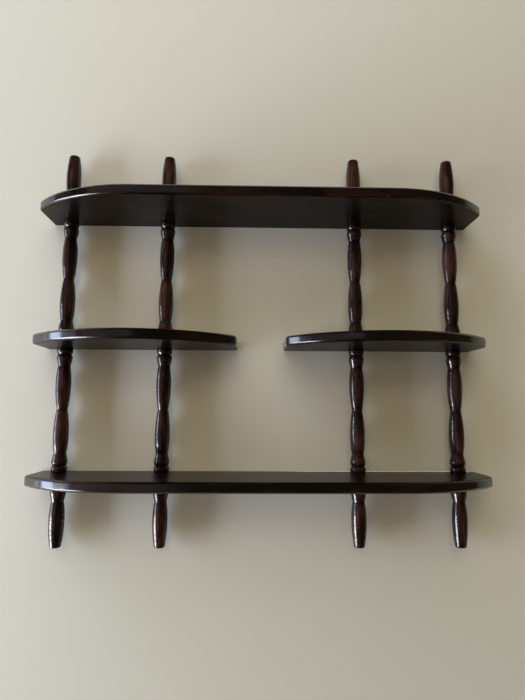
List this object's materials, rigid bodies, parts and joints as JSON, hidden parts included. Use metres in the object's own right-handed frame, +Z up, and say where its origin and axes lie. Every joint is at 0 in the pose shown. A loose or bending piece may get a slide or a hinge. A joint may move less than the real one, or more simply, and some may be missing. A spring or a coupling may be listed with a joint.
{
  "type": "wall plate rack",
  "caption": "Open wall rack in dark mahogany: long and short swept boards on turned columns with finials, for showing plates and cups. Hangs on wall screws.",
  "frame": {"origin": "on the rear edge of the top board, half way between the two keyholes, at half its thickness", "axes": "+X to the viewer's right along the boards, +Y into the wall, +Z up"},
  "size_m": [0.665, 0.126, 0.604],
  "materials": {
    "mahogany_boards": "dark mahogany stain under glossy lacquer",
    "mahogany_turnings": "dark mahogany stain under glossy lacquer",
    "plated_steel": "bright zinc plate"
  },
  "bodies": {
    "root": {"top_board": "mahogany_boards", "left_middle_board": "mahogany_boards", "right_middle_board": "mahogany_boards", "bottom_board": "mahogany_boards", "outer_left_top_finial": "mahogany_turnings", "outer_left_upper_spindle": "mahogany_turnings", "outer_left_lower_spindle": "mahogany_turnings", "outer_left_bottom_finial": "mahogany_turnings", "inner_left_top_finial": "mahogany_turnings", "inner_left_upper_spindle": "mahogany_turnings", "inner_left_lower_spindle": "mahogany_turnings", "inner_left_bottom_finial": "mahogany_turnings", "outer_right_top_finial": "mahogany_turnings", "outer_right_upper_spindle": "mahogany_turnings", "outer_right_lower_spindle": "mahogany_turnings", "outer_right_bottom_finial": "mahogany_turnings", "inner_right_top_finial": "mahogany_turnings", "inner_right_upper_spindle": "mahogany_turnings", "inner_right_lower_spindle": "mahogany_turnings", "inner_right_bottom_finial": "mahogany_turnings", "top_board_screws": "plated_steel", "left_middle_screws": "plated_steel", "right_middle_screws": "plated_steel", "bottom_board_screws": "plated_steel"}
  },
  "joints": []
}
